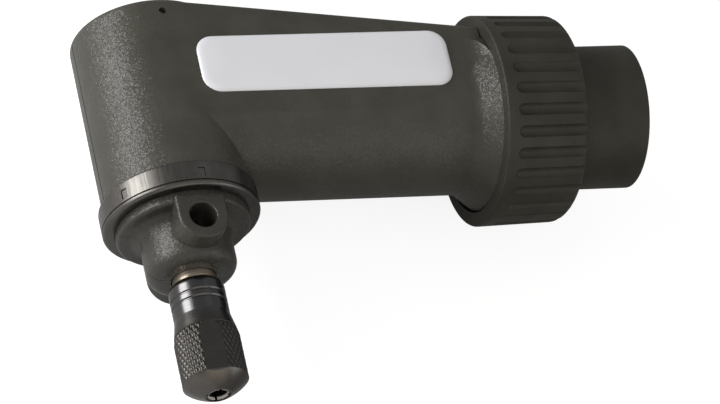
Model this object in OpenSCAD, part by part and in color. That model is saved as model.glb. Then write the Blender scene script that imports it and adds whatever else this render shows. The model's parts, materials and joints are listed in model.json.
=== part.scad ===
// Right-angle head for a hand-held rotary tool.
// Working pose of the modules: barrel axis on X, spindle axis on Z with the collet pointing to -Z,
// name plate on the -Y side, and the two axes crossing at the origin.
// laid_down() then turns the finished piece on its side, name plate up, with the origin at the
// centre of the coupling mouth, +X out of the coupling and the collet pointing to -Y.
// Depths are counted downwards from the barrel axis.

/* [Head] */
// Radius of the round head
head_r = 12.26; // [11.8:0.02:13.2]
// Height of the head top above the barrel axis
head_top = 18.26; // [17.4:0.02:20]
// Rounding of the head's top edge
head_round = 1.3; // [0.4:0.1:2]
// Wall of the head round its bore
head_wall = 2; // [1.6:0.1:2.3]
// Solid cap above the gear chamber
head_cap = 9.2; // [7:0.1:10]
// Radius of the pin that ties the two halves at the head's top
head_pin_r = 0.6; // [0.4:0.05:1]
// Distance of that pin below the head's top
head_pin_drop = 2.7; // [2:0.1:5]
// Depth of the pin's ends under the surface
head_pin_sink = 0.9; // [0.1:0.05:1.2]
// Width of the fine groove along the parting line of the two halves
parting_w = 0.2; // [0.1:0.02:0.4]
// Depth of that groove
parting_deep = 0.2; // [0.1:0.05:0.4]

/* [Barrel] */
// Radius of the barrel's round underside
barrel_r = 12.2; // [11.8:0.02:12.24]
// How far the flat flanks lie inside that radius
flank_inset = 0.05; // [0.02:0.01:0.3]
// Spindle axis to the front face of the coupling nut
barrel_len = 54; // [50:0.5:64]
// Fall of the flat roof towards the coupling, in degrees
roof_slope = 7.25; // [5:0.05:7.6]
// Rounding of the roof's long edges
roof_round = 1.2; // [0.4:0.1:2]
// Wall of the barrel between its bearings
barrel_wall = 2.7; // [2:0.1:4]
// Radius of the concave flare in front of the coupling nut
flare_r = 4.2; // [3.4:0.1:5]
// Outer radius of the tail flange that the flare runs out to
flange_r = 15; // [14.4:0.05:15.6]
// Thickness of the tail flange behind the flare
flange_t = 2.6; // [1.6:0.1:4]
// Radius of the tail neck that carries the coupling nut
tail_neck_r = 7.4; // [6.8:0.1:8]
// Wall behind the rear bearing, up to the flange's rear face
rear_wall = 6.5; // [4:0.1:9]
// Gap between the roof's end and the coupling nut
roof_gap = 0.25; // [0.1:0.05:0.6]

/* [Name plate] */
// Length of the plate
plate_len = 43.3; // [36:0.1:44]
// Width of the plate
plate_width = 10.65; // [8:0.05:11.4]
// Corner radius of the plate
plate_corner = 3; // [1:0.1:4]
// Thickness of the plate
plate_t = 0.95; // [0.6:0.05:1.5]
// Depth of the recess that the plate sits in
plate_sink = 0.35; // [0.1:0.05:0.5]
// Bevel round the plate's face
plate_bevel = 0.45; // [0.2:0.05:0.5]
// Spindle axis to the near edge of the plate
plate_start = 4.3; // [4:0.1:6]
// Height of the plate's middle above the barrel axis
plate_height = 5.1; // [5:0.05:6]

/* [Gears] */
// Pitch radius of both bevel gears at their large end
pitch_r = 6; // [5.6:0.1:6.2]
// Teeth on each bevel gear
teeth = 16; // [14:1:18]
// Length of the teeth along the shaft
gear_face = 2.4; // [1.8:0.1:2.6]
// Tooth height above the pitch radius
addendum = 0.85; // [0.7:0.05:0.9]
// Tooth depth below the pitch radius
dedendum = 1.15; // [1.05:0.05:1.25]
// Share of a tooth pitch that the tooth fills at the pitch radius
tooth_share = 0.41; // [0.36:0.01:0.42]
// Length of the driven gear's hub under its teeth
gear_hub_len = 2.2; // [2:0.1:3]
// Radius of the driven gear's hub
gear_hub_r = 4.2; // [3.8:0.1:4.4]
// Radius of the pinion's hub
pinion_hub_r = 3.5; // [3.2:0.1:3.7]
// Radius of the pins through both hubs
hub_pin_r = 0.5; // [0.4:0.05:0.6]

/* [Bearings] */
// Bore radius of the two head bearings
head_bearing_bore = 3; // [2.8:0.1:3.2]
// Outer radius of the two head bearings
head_bearing_r = 7.5; // [7:0.1:8]
// Width of each head bearing
head_bearing_w = 5; // [4:0.1:6]
// Gap between the two head bearings
head_bearing_gap = 1; // [0.6:0.1:3]
// Bore radius of the two barrel bearings
barrel_bearing_bore = 2.5; // [2.3:0.1:2.7]
// Outer radius of the two barrel bearings
barrel_bearing_r = 6.5; // [6:0.1:7]
// Width of each barrel bearing
barrel_bearing_w = 4; // [3:0.1:5]
// Balls in each bearing
balls = 7; // [6:1:8]
// Lip of the housing in front of and behind a barrel bearing
bearing_lip = 1.2; // [0.8:0.1:2]

/* [Nose] */
// Radius of the nose's round flange
nose_r = 11.1; // [10.8:0.05:11.3]
// Radius of the hub under the flange
hub_r = 7.5; // [7.2:0.05:8]
// Length of the hub under the flange
hub_len = 8.4; // [7.4:0.1:10]
// Rounding of the hub's lower edge
hub_round = 2.2; // [1:0.1:3]
// Fillet between flange and hub
hub_fillet = 2; // [1:0.1:2.4]
// Half width of the lock boss
boss_half = 4.2; // [3.6:0.1:4.8]
// Distance of the lock boss's face from the spindle axis
boss_reach = 11; // [10:0.1:11.1]
// Depth of the lock hole under the flange's face
lock_drop = 2.75; // [2.4:0.05:4]
// Radius of the lock hole
lock_r = 2.25; // [1.8:0.05:2.6]
// Rounding of the lock boss's face
boss_round = 0.5; // [0.4:0.1:1.8]
// Rounding of the lock hole's mouth
lock_mouth = 0.35; // [0.1:0.05:0.6]
// Rounding of the flange's lower edge
flange_round = 0.6; // [0.2:0.1:1]

/* [Head band] */
// Outer radius of the band
band_r = 13.05; // [12.9:0.05:14]
// Height of the housing's neck inside the band
band_neck = 2.4; // [1.6:0.1:3]
// Thickness of the nose's shoulder that the band clamps
shoulder_t = 1.4; // [1:0.1:2]
// Thickness of the band's crimped lip
lip_t = 0.9; // [0.6:0.1:1.4]
// Flange height that shows below the band
nose_show = 1.7; // [1.2:0.1:3]
// Wall of the band
band_wall = 1.25; // [1.1:0.05:1.6]
// Rounding of the band's lower bead
bead_round = 0.6; // [0.3:0.05:0.8]
// Angle above the bead's widest place at which a fine step parts it from the band's wall
bead_turn = 42; // [20:1:60]
// Rounding of the band's upper edge
band_round = 0.4; // [0.1:0.05:0.6]
// Gap between the housing's shoulder and the band
band_gap = 0.2; // [0.05:0.05:0.4]
// Crimp marks round the band
crimps = 6; // [3:1:8]
// Turn of the crimp marks about the spindle, in degrees
crimp_turn = 32; // [0:1:60]
// Width of a crimp mark
crimp_w = 1.2; // [0.6:0.1:2]
// Height of a crimp mark
crimp_h = 1.7; // [0.8:0.1:2.4]
// Depth of a crimp mark
crimp_deep = 0.2; // [0.1:0.05:0.4]

/* [Spindle and collet] */
// Radius of the spindle's shoulder
shoulder_r = 3.6; // [3.5:0.05:3.8]
// Running gap between the shoulder and the nose
shoulder_gap = 0.15; // [0.1:0.05:0.5]
// Length of shoulder that shows under the nose
shoulder_show = 1.45; // [0.6:0.05:2]
// Radius of the spindle's thread for the collet nut
collet_thread_r = 3.45; // [3.2:0.05:3.5]
// Radius of the collet's body
collet_body_r = 2.4; // [2.2:0.05:2.5]
// Radius of the shank that the collet holds
shank_r = 1.6; // [1.2:0.05:1.65]
// Length of the collet's cone
collet_cone = 3.2; // [2.4:0.1:4]
// Length of the collet behind its cone
collet_tail = 12; // [9:0.1:13]
// Width of the slots that part the collet's jaws
collet_slot = 0.4; // [0.2:0.05:0.6]
// Turn of the slots about the axis, in degrees
collet_turn = 2; // [-45:1:45]
// Depth of the collet's front face in the nut's tip
collet_recess = 0.1; // [0.05:0.05:0.3]

/* [Collet nut] */
// Length of the nut
nut_len = 19.95; // [18.5:0.05:23]
// Radius of the nut's upper edge
nut_top_r = 3.75; // [3.6:0.05:4.2]
// Length of the round shoulder under that edge
nut_shoulder = 1.3; // [0.6:0.1:2]
// Radius of the nut's neck
nut_neck_r = 4.6; // [4.4:0.05:4.9]
// Length of the neck
nut_neck_len = 6.25; // [5:0.05:8]
// Radius of the knurled grip
nut_grip_r = 5.42; // [5.2:0.02:6]
// Length of the taper from neck to grip
nut_taper = 3.9; // [2:0.1:5]
// Length of the conical tip
nut_tip = 2.2; // [1.6:0.1:3]
// Radius of the flat ring at the tip
nut_tip_r = 2.75; // [2.6:0.05:3.2]
// Radius of the hole in the tip
nut_hole_r = 2.05; // [1.8:0.05:2.2]
// Thickness of the ring in front of the collet
nut_lip = 0.5; // [0.3:0.05:1]
// Distance of the two wrench flats from the axis
nut_flat = 5.1; // [4.9:0.02:5.2]
// Turn of the wrench flats about the axis, in degrees
nut_flat_turn = -10; // [-45:1:45]
// Depth of the ring grooves in the neck
nut_groove = 0.18; // [0.1:0.02:0.3]
// Width of a ring groove
nut_groove_w = 0.5; // [0.4:0.05:0.8]
// Distance of the first ring groove from the nut's upper edge
nut_groove_at = 2.45; // [2:0.05:3.4]
// Distance between the two ring grooves
nut_groove_step = 1.3; // [0.8:0.1:2]

/* [Coupling nut] */
// Radius of the grip at its front rim
grip_r = 17.6; // [17.4:0.05:19]
// Length of the grip
grip_len = 14.7; // [13:0.1:18]
// Draft of the grip, in degrees
grip_draft = 1.4; // [0.2:0.1:2]
// Rounding of the grip's rear edge
grip_round = 1.8; // [0.8:0.1:2.4]
// Flutes round the grip
flutes = 30; // [20:1:34]
// Width of a flute
flute_w = 2; // [1.4:0.1:2.4]
// Depth of a flute
flute_deep = 0.65; // [0.2:0.05:0.8]
// Smooth band in front of the flutes
flute_start = 1.8; // [1.2:0.1:4]
// Turn of the flutes about the barrel axis, in degrees
flute_turn = -4.5; // [-6:0.5:6]
// Radius of the sleeve behind the grip
sleeve_r = 12; // [11.4:0.1:13]
// Length of the sleeve
sleeve_len = 12.5; // [10:0.1:16]
// Radius of the threaded bore
thread_r = 8.9; // [8.7:0.05:9.5]
// Length of the threaded bore
thread_len = 11.7; // [8:0.1:12]
// Radius of the relief in front of the thread
relief_r = 9.6; // [9.55:0.05:10]
// Thickness of the web that runs on the tail neck
web_t = 3; // [2:0.1:4]
// Distance the rim reaches over the flare
rim_reach = 0.4; // [0.2:0.1:1]
// Running gap between rim and flange
rim_gap = 0.25; // [0.15:0.05:0.4]
// Rounding of the rim's front edge
rim_round = 0.4; // [0.1:0.05:0.8]

/* [Input shaft] */
// Radius of the shaft between its bearings
shaft_r = 3.1; // [2.8:0.1:3.5]
// Width across the square drive end
drive_w = 3.5; // [2.8:0.1:3.5]
// Length of the square drive end beyond the tail neck
drive_show = 2; // [0.5:0.1:4]

/* [Fits] */
// Clearance of seats that don't move
seat_gap = 0.02; // [0.01:0.005:0.04]
// Radial clearance of running fits
run_gap = 0.06; // [0.03:0.01:0.1]
// End play of the coupling nut
end_play = 0.3; // [0.1:0.05:0.5]
// Clearance of the balls in their grooves
ball_gap = 0.06; // [0.03:0.01:0.1]

/* [Hidden] */

$fn = 96;
far = 100;

// Small sizes of pieces that the housing hides
floor_wall = 0.4;
spigot_rise = 0.8;
lip_gap = 0.06;
thread_runout = 0.7;
bore_step = 0.55;
cone_step = 0.75;
seat_step = 0.3;
bore_tip = 1;
circlip_t = 1;
circlip_deep = 0.5;
circlip_rise = 1.2;
circlip_gap = 14;
tail_lip = 1.4;
drive_root = 2.5;
shaft_clear = 1.4;
bearing_clip_t = 0.8;
bearing_clip_play = 0.05;
bearing_clip_deep = 0.45;
bearing_clip_rise = 0.9;
bearing_clip_gap = 12;
lug_r = 1.1;
lug_inset = 0.3;
plier_r = 0.45;
pin_inset = 0.2;
hub_root = 0.5;
slot_floor = 3;
lock_play = 0.25;

// Shares of a bearing's ring height
ball_share = 0.28;
race_share = 0.17;

// Tooth angles at root, upper flank and tip, as shares of the angle at the pitch radius
root_share = 1.35;
flank_share = 0.74;
tip_share = 0.4;

// Heights of the plate's rounded edge, each with its inset, as shares of the bevel
plate_steps = [[1, 0], [0.3, 0.3], [0, 1]];
casting = "#2d2c29";
steel = "#9a958c";
dark_steel = "#34332f";
gear_steel = "#77746c";
race_steel = "#b9b8b4";

// Stations along the spindle, as depths
upper_bearing_at = pitch_r + gear_hub_len;
spacer_at = upper_bearing_at + head_bearing_w;
lower_bearing_at = spacer_at + head_bearing_gap;
pocket_floor = lower_bearing_at + head_bearing_w;
nose_face = pocket_floor + floor_wall;
lip_bottom = nose_face - nose_show;
lip_top = lip_bottom - lip_t;
shoulder_top = lip_top - shoulder_t;
seam = shoulder_top - band_neck;
spigot_top = pitch_r + spigot_rise;
hub_bottom = nose_face + hub_len;
lock_depth = nose_face + lock_drop;
nut_top = hub_bottom + shoulder_show;
nut_end = nut_top + nut_len;
cone_end = nut_end - nut_lip;
cone_start = cone_end - collet_cone;
spindle_end = cone_start - thread_runout;
collet_back = cone_start - collet_tail;
collet_end = nut_end - collet_recess;

// Radii round the spindle
head_bore_r = head_r - head_wall;
spigot_r = head_bore_r - seat_gap;
neck_r = band_r - band_wall - seat_gap;
lip_r = nose_r + lip_gap;
gear_bore_r = head_bearing_bore - bore_step;
nut_bore_r = collet_thread_r + run_gap;
collet_back_r = collet_body_r + cone_step;
collet_front_r = nut_hole_r + seat_step;
collet_nose_r = nut_hole_r - run_gap;

// Stations along the barrel
front_bearing_at = head_bore_r + bearing_lip;
front_rib_end = front_bearing_at + barrel_bearing_w + bearing_lip;
flare_turn = acos(1 - (flange_r - barrel_r) / flare_r);
flare_end = barrel_len + rim_reach;
flare_start = flare_end - flare_r * sin(flare_turn);
flange_end = flare_end + flange_t;
rear_bearing_at = flange_end - rear_wall - barrel_bearing_w;
rear_rib_start = rear_bearing_at - bearing_lip;
web_start = flange_end + end_play;
web_end = web_start + web_t;
circlip_at = web_end + end_play;
tail_end = circlip_at + circlip_t + tail_lip;
grip_end = barrel_len + grip_len;
reach = grip_end + sleeve_len;
thread_start = reach - thread_len;
drive_start = rear_bearing_at + barrel_bearing_w + drive_root;
drive_end = tail_end + drive_show;

// Radii round the barrel
flank = barrel_r - flank_inset;
pinion_bore_r = barrel_bearing_bore - bore_step;
shaft_bore_r = shaft_r + shaft_clear;
groove_r = tail_neck_r - circlip_deep;
clip_r = tail_neck_r + circlip_rise;
bearing_groove_r = head_bearing_r + bearing_clip_deep;

// Places of the bearings' spring ring and of the gears' pins
bearing_clip_at = upper_bearing_at - bearing_clip_t - bearing_clip_play;
pinion_pin_at = (pitch_r + front_bearing_at) / 2;
gear_pin_at = pitch_r + gear_hub_len / 2;

// Points of an arc about (cx, cy) from angle a0 to a1
function arc(cx, cy, r, a0, a1, n = 8) =
    [for (i = [0 : n]) let (a = a0 + (a1 - a0) * i / n) [cx + r * cos(a), cy + r * sin(a)]];

// Outline of a rectangle with round corners, centred on the origin
function round_rect(w, h, r) = concat(
    arc(w / 2 - r, h / 2 - r, r, 0, 90),
    arc(r - w / 2, h / 2 - r, r, 90, 180),
    arc(r - w / 2, r - h / 2, r, 180, 270),
    arc(w / 2 - r, r - h / 2, r, 270, 360));

// Outline of a bevel gear at its large end, with a tooth on +X when phase is 0
tooth_half = 180 / teeth * tooth_share;
tooth = [
    [pitch_r - dedendum, -root_share * tooth_half],
    [pitch_r, -tooth_half],
    [pitch_r + addendum / 2, -flank_share * tooth_half],
    [pitch_r + addendum, -tip_share * tooth_half],
    [pitch_r + addendum, tip_share * tooth_half],
    [pitch_r + addendum / 2, flank_share * tooth_half],
    [pitch_r, tooth_half],
    [pitch_r - dedendum, root_share * tooth_half]
];
function gear_outline(phase) = [
    for (i = [0 : teeth - 1])
        for (p = tooth)
            let (a = (i + phase) * 360 / teeth + p[1])
                [p[0] * cos(a), p[0] * sin(a)]
];

module laid_down() {
    translate([-reach, 0, 0])
        rotate([-90, 0, 0])
            children();
}

// Turns a shape made round +Z so that +Z becomes +X, along the barrel
module along_barrel() {
    rotate([0, 90, 0])
        children();
}

// Turns a shape made round +Z so that +Z points down the spindle
module down_spindle() {
    rotate([180, 0, 0])
        children();
}

module tube(outer, inner, at, length) {
    translate([0, 0, at])
        linear_extrude(length)
            difference() {
                circle(outer);
                circle(inner);
            }
}

// Housing, moulded in two halves that part on the plane of both axes

module head_form() {
    rotate_extrude()
        polygon(concat(
            [[0, -shoulder_top], [neck_r, -shoulder_top], [neck_r, -seam], [head_r, -seam]],
            arc(head_r - head_round, head_top - head_round, head_round, 0, 90),
            [[0, head_top]]));
}

// Round underside, flare, tail flange and neck as one turned form
module barrel_form() {
    along_barrel()
        rotate_extrude()
            polygon(concat(
                [[0, 0], [barrel_r, 0]],
                arc(barrel_r + flare_r, flare_start, flare_r, 180, 180 - flare_turn),
                [[flange_r, flange_end], [tail_neck_r, flange_end]],
                [[tail_neck_r, tail_end], [0, tail_end]]));
}

// Flat flanks and sloping roof above the barrel axis
module roof_form() {
    roof_drop = head_top + far * sin(roof_slope);
    intersection() {
        translate([0, 0, head_top - flank_inset])
            rotate([90, 0, 90])
                rotate([roof_slope, 0, 0])
                    linear_extrude(far)
                        polygon(concat(
                            [[-flank, -roof_drop], [flank, -roof_drop]],
                            arc(flank - roof_round, -roof_round, roof_round, 0, 90),
                            arc(roof_round - flank, -roof_round, roof_round, 90, 180)));
        translate([0, -far / 2, 0])
            cube([barrel_len - roof_gap, far, far]);
    }
}

// Flare of the two flat flanks, which meets the turned flare at the barrel axis
module flank_flare() {
    intersection() {
        linear_extrude(far)
            for (side = [0, 1])
                mirror([0, side])
                    polygon(concat(
                        [[flare_start, roof_round - flank]],
                        arc(flare_start, -flank - flare_r, flare_r, 90, 90 - flare_turn),
                        [[flare_end, roof_round - flank]]));
        along_barrel()
            cylinder(r = flange_r, h = far);
    }
}

// Fine groove that shows where the halves part, on the side of the head away from the barrel
module parting_groove() {
    difference() {
        translate([-far, -parting_w / 2, -far / 2])
            cube([far, parting_w, far]);
        translate([0, 0, -far / 2])
            cylinder(r = head_r - parting_deep, h = far);
    }
}

module housing_bores() {
    translate([0, 0, -far])
        cylinder(r = head_bore_r, h = far + head_top - head_cap);
    along_barrel() {
        cylinder(r = shaft_bore_r, h = far);
        translate([0, 0, front_bearing_at])
            cylinder(r = barrel_bearing_r + seat_gap, h = barrel_bearing_w);
        translate([0, 0, front_rib_end])
            cylinder(r = barrel_r - barrel_wall, h = rear_rib_start - front_rib_end);
        translate([0, 0, rear_bearing_at])
            cylinder(r = barrel_bearing_r + seat_gap, h = barrel_bearing_w);
        tube(tail_neck_r + circlip_rise, groove_r, circlip_at - seat_gap, circlip_t + 2 * seat_gap);
    }
    translate([0, far / 2, head_top - head_pin_drop])
        rotate([90, 0, 0])
            cylinder(r = head_pin_r + seat_gap, h = far);
}

module plate_place() {
    translate([plate_start + plate_len / 2, plate_sink - flank, plate_height])
        rotate([90, 0, 0])
            children();
}

module housing_half(side) {
    intersection() {
        difference() {
            union() {
                head_form();
                barrel_form();
                roof_form();
                flank_flare();
            }
            housing_bores();
            parting_groove();
        }
        translate([-far / 2, side > 0 ? 0 : -far, -far / 2])
            cube([2 * far, far, far]);
    }
}

module housing_front() {
    color(casting) laid_down()
        difference() {
            housing_half(-1);
            plate_place()
                linear_extrude(far)
                    polygon(round_rect(
                        plate_len + 2 * seat_gap, plate_width + 2 * seat_gap, plate_corner + seat_gap));
        }
}

module housing_rear() {
    color(casting) laid_down()
        housing_half(1);
}

module head_pin() {
    length = 2 * (head_r - head_pin_sink);
    color(steel) laid_down()
        translate([0, length / 2, head_top - head_pin_drop])
            rotate([90, 0, 0])
                cylinder(r = head_pin_r, h = length);
}

module name_plate() {
    color("#e6e5e6") laid_down()
        plate_place()
            hull()
                for (step = plate_steps)
                    linear_extrude(plate_t - step[0] * plate_bevel)
                        polygon(round_rect(
                            plate_len - 2 * step[1] * plate_bevel, plate_width - 2 * step[1] * plate_bevel,
                            plate_corner - step[1] * plate_bevel));
}

// Steel band crimped over the housing's neck and the nose's shoulder
module head_band() {
    band_top = seam + band_gap;
    color(dark_steel) laid_down()
        difference() {
            rotate_extrude()
                polygon(concat(
                    [[neck_r + seat_gap, -lip_top], [neck_r + seat_gap, -band_top]],
                    arc(band_r - band_round, -band_top - band_round, band_round, 90, 0),
                    [[band_r, bead_round * (1 + sin(bead_turn)) - lip_bottom]],
                    arc(band_r - bead_round, bead_round - lip_bottom, bead_round, bead_turn, -90),
                    [[lip_r, -lip_bottom], [lip_r, -lip_top]]));
            for (i = [0 : crimps - 1])
                rotate([0, 0, crimp_turn + i * 360 / crimps])
                    translate([band_r - crimp_deep, -crimp_w / 2, -(band_top + lip_bottom + crimp_h) / 2])
                        cube([far, crimp_w, crimp_h]);
        }
}

// Boss with the hole for the lock rod, seen along the hole: a round end that runs up into the flange
module lock_boss() {
    translate([0, 0, -lock_depth]) {
        rotate([90, 0, 0])
            rotate_extrude()
                polygon(concat(
                    [[0, 0], [boss_half, 0]],
                    arc(boss_half - boss_round, boss_reach - boss_round, boss_round, 0, 90),
                    [[0, boss_reach]]));
        linear_extrude(lock_drop + nose_show / 2)
            polygon(concat(
                [[-boss_half, 0], [boss_half, 0]],
                arc(boss_half - boss_round, boss_round - boss_reach, boss_round, 0, -90),
                arc(boss_round - boss_half, boss_round - boss_reach, boss_round, -90, -180)));
    }
}

module lock_hole() {
    translate([0, 0, -lock_depth])
        rotate([90, 0, 0])
            rotate_extrude()
                polygon(concat(
                    [[0, 0], [lock_r, 0]],
                    arc(lock_r + lock_mouth, boss_reach - lock_mouth, lock_mouth, 180, 90),
                    [[lock_r + lock_mouth, far], [0, far]]));
}

// Nose casting: spigot, clamped shoulder, flange, hub and a lock boss on each side
module nose_cap() {
    color(casting) laid_down()
        difference() {
            union() {
                rotate_extrude()
                    polygon(concat(
                        [[0, -spigot_top], [spigot_r, -spigot_top], [spigot_r, -shoulder_top]],
                        [[neck_r, -shoulder_top], [neck_r, -lip_top], [nose_r, -lip_top]],
                        arc(nose_r - flange_round, flange_round - nose_face, flange_round, 0, -90),
                        arc(hub_r + hub_fillet, -nose_face - hub_fillet, hub_fillet, 90, 180),
                        arc(hub_r - hub_round, hub_round - hub_bottom, hub_round, 0, -90),
                        [[0, -hub_bottom]]));
                for (side = [0, 1])
                    mirror([0, side, 0])
                        lock_boss();
            }
            down_spindle() {
                cylinder(r = head_bearing_r + seat_gap, h = pocket_floor);
                cylinder(r = shoulder_r + shoulder_gap, h = far);
                tube(bearing_groove_r + seat_gap, head_bearing_r, bearing_clip_at - seat_gap,
                    bearing_clip_t + 2 * seat_gap);
            }
            for (side = [0, 1])
                mirror([0, side, 0])
                    lock_hole();
        }
}

// Ball bearings: a ring with a groove on each side of the balls

module race_groove(inner, outer, width) {
    translate([0, 0, width / 2])
        rotate_extrude()
            translate([(inner + outer) / 2, 0])
                circle(ball_r(inner, outer) + ball_gap, $fn = 48);
}

function ball_r(inner, outer) = ball_share * (outer - inner);
function race_gap(inner, outer) = race_share * (outer - inner);

module outer_race(inner, outer, width) {
    difference() {
        tube(outer, (inner + outer) / 2 + race_gap(inner, outer), 0, width);
        race_groove(inner, outer, width);
    }
}

module inner_race(inner, outer, width) {
    difference() {
        tube((inner + outer) / 2 - race_gap(inner, outer), inner + seat_gap, 0, width);
        race_groove(inner, outer, width);
    }
}

module ball_set(inner, outer, width) {
    for (i = [0 : balls - 1])
        rotate([0, 0, i * 360 / balls])
            translate([(inner + outer) / 2, 0, width / 2])
                sphere(ball_r(inner, outer), $fn = 32);
}

module head_bearing_at(depth) {
    laid_down()
        down_spindle()
            translate([0, 0, depth])
                children();
}

module barrel_bearing_at(x) {
    laid_down()
        along_barrel()
            translate([0, 0, x])
                children();
}

module upper_outer_race() {
    color(race_steel) head_bearing_at(upper_bearing_at)
        outer_race(head_bearing_bore, head_bearing_r, head_bearing_w);
}

module upper_inner_race() {
    color(race_steel) head_bearing_at(upper_bearing_at)
        inner_race(head_bearing_bore, head_bearing_r, head_bearing_w);
}

module upper_balls() {
    color(race_steel) head_bearing_at(upper_bearing_at)
        ball_set(head_bearing_bore, head_bearing_r, head_bearing_w);
}

module lower_outer_race() {
    color(race_steel) head_bearing_at(lower_bearing_at)
        outer_race(head_bearing_bore, head_bearing_r, head_bearing_w);
}

module lower_inner_race() {
    color(race_steel) head_bearing_at(lower_bearing_at)
        inner_race(head_bearing_bore, head_bearing_r, head_bearing_w);
}

module lower_balls() {
    color(race_steel) head_bearing_at(lower_bearing_at)
        ball_set(head_bearing_bore, head_bearing_r, head_bearing_w);
}

module outer_spacer() {
    inner = (head_bearing_bore + head_bearing_r) / 2 + race_gap(head_bearing_bore, head_bearing_r);
    color(steel) head_bearing_at(spacer_at)
        tube(head_bearing_r, inner, 0, head_bearing_gap);
}

module inner_spacer() {
    outer = (head_bearing_bore + head_bearing_r) / 2 - race_gap(head_bearing_bore, head_bearing_r);
    color(steel) head_bearing_at(spacer_at)
        tube(outer, head_bearing_bore + seat_gap, 0, head_bearing_gap);
}

module front_outer_race() {
    color(race_steel) barrel_bearing_at(front_bearing_at)
        outer_race(barrel_bearing_bore, barrel_bearing_r, barrel_bearing_w);
}

module front_inner_race() {
    color(race_steel) barrel_bearing_at(front_bearing_at)
        inner_race(barrel_bearing_bore, barrel_bearing_r, barrel_bearing_w);
}

module front_balls() {
    color(race_steel) barrel_bearing_at(front_bearing_at)
        ball_set(barrel_bearing_bore, barrel_bearing_r, barrel_bearing_w);
}

module rear_outer_race() {
    color(race_steel) barrel_bearing_at(rear_bearing_at)
        outer_race(barrel_bearing_bore, barrel_bearing_r, barrel_bearing_w);
}

module rear_inner_race() {
    color(race_steel) barrel_bearing_at(rear_bearing_at)
        inner_race(barrel_bearing_bore, barrel_bearing_r, barrel_bearing_w);
}

module rear_balls() {
    color(race_steel) barrel_bearing_at(rear_bearing_at)
        ball_set(barrel_bearing_bore, barrel_bearing_r, barrel_bearing_w);
}

// Spring rings: an open ring whose two ends carry lugs with plier holes
module spring_ring(inner, outer, lug_at, gap, thickness) {
    linear_extrude(thickness)
        difference() {
            union() {
                difference() {
                    circle(outer);
                    circle(inner);
                    polygon([[0, 0], [far * cos(gap), far * sin(gap)], [far * cos(gap), -far * sin(gap)]]);
                }
                for (side = [-1, 1])
                    rotate(side * gap)
                        translate([lug_at, side * lug_r / 2])
                            circle(lug_r, $fn = 32);
            }
            for (side = [-1, 1])
                rotate(side * gap)
                    translate([lug_at, side * lug_r / 2])
                        circle(plier_r, $fn = 32);
        }
}

module bearing_circlip() {
    color(steel) head_bearing_at(bearing_clip_at)
        spring_ring(
            head_bearing_r - bearing_clip_rise, bearing_groove_r,
            head_bearing_r - bearing_clip_rise - lug_inset, bearing_clip_gap, bearing_clip_t);
}

module coupling_circlip() {
    color(steel) barrel_bearing_at(circlip_at)
        spring_ring(groove_r + seat_gap, clip_r, clip_r - lug_inset, circlip_gap, circlip_t);
}

// Drive train

// Bevel gear about +Z with its cone's apex at the origin, and a hub behind its teeth
module bevel(phase, hub_radius, hub_end, bore) {
    difference() {
        union() {
            translate([0, 0, pitch_r])
                mirror([0, 0, 1])
                    linear_extrude(gear_face, scale = (pitch_r - gear_face) / pitch_r)
                        polygon(gear_outline(phase));
            translate([0, 0, pitch_r - hub_root])
                cylinder(r = hub_radius, h = hub_end - pitch_r + hub_root);
        }
        cylinder(r = bore + seat_gap, h = far);
    }
}

// Pin across a hub, at a distance along its axis
module hub_pin(at, length, radius) {
    translate([0, length / 2, at])
        rotate([90, 0, 0])
            cylinder(r = radius, h = length, $fn = 32);
}

module input_shaft() {
    rear_end = rear_bearing_at + barrel_bearing_w;
    color(steel) laid_down()
        along_barrel()
            difference() {
                union() {
                    rotate_extrude()
                        polygon([
                            [0, pitch_r - gear_face], [pinion_bore_r, pitch_r - gear_face],
                            [pinion_bore_r, front_bearing_at], [barrel_bearing_bore, front_bearing_at],
                            [barrel_bearing_bore, front_bearing_at + barrel_bearing_w],
                            [shaft_r, front_bearing_at + barrel_bearing_w], [shaft_r, rear_bearing_at],
                            [barrel_bearing_bore, rear_bearing_at], [barrel_bearing_bore, drive_start],
                            [0, drive_start]]);
                    translate([-drive_w / 2, -drive_w / 2, rear_end])
                        cube([drive_w, drive_w, drive_end - rear_end]);
                }
                hub_pin(pinion_pin_at, far, hub_pin_r + seat_gap);
            }
}

module bevel_pinion() {
    color(gear_steel) laid_down()
        along_barrel()
            difference() {
                bevel(0.5, pinion_hub_r, front_bearing_at, pinion_bore_r);
                hub_pin(pinion_pin_at, far, hub_pin_r + seat_gap);
            }
}

module pinion_pin() {
    color(steel) laid_down()
        along_barrel()
            hub_pin(pinion_pin_at, 2 * (pinion_hub_r - pin_inset), hub_pin_r);
}

module spindle() {
    color(steel) laid_down()
        down_spindle()
            difference() {
                rotate_extrude()
                    polygon([
                        [0, pitch_r - gear_face], [gear_bore_r, pitch_r - gear_face],
                        [gear_bore_r, upper_bearing_at], [head_bearing_bore, upper_bearing_at],
                        [head_bearing_bore, pocket_floor], [shoulder_r, pocket_floor],
                        [shoulder_r, nut_top - end_play], [collet_thread_r, nut_top - end_play],
                        [collet_thread_r, spindle_end], [collet_body_r + run_gap, spindle_end],
                        [collet_body_r + run_gap, collet_back - bore_tip], [0, collet_back - bore_tip]]);
                hub_pin(gear_pin_at, far, hub_pin_r + seat_gap);
                hub_pin(lock_depth, far, lock_r + lock_play);
            }
}

module bevel_gear() {
    color(gear_steel) laid_down()
        down_spindle()
            difference() {
                bevel(0, gear_hub_r, upper_bearing_at, gear_bore_r);
                hub_pin(gear_pin_at, far, hub_pin_r + seat_gap);
            }
}

module gear_pin() {
    color(steel) laid_down()
        down_spindle()
            hub_pin(gear_pin_at, 2 * (gear_hub_r - pin_inset), hub_pin_r);
}

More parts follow.
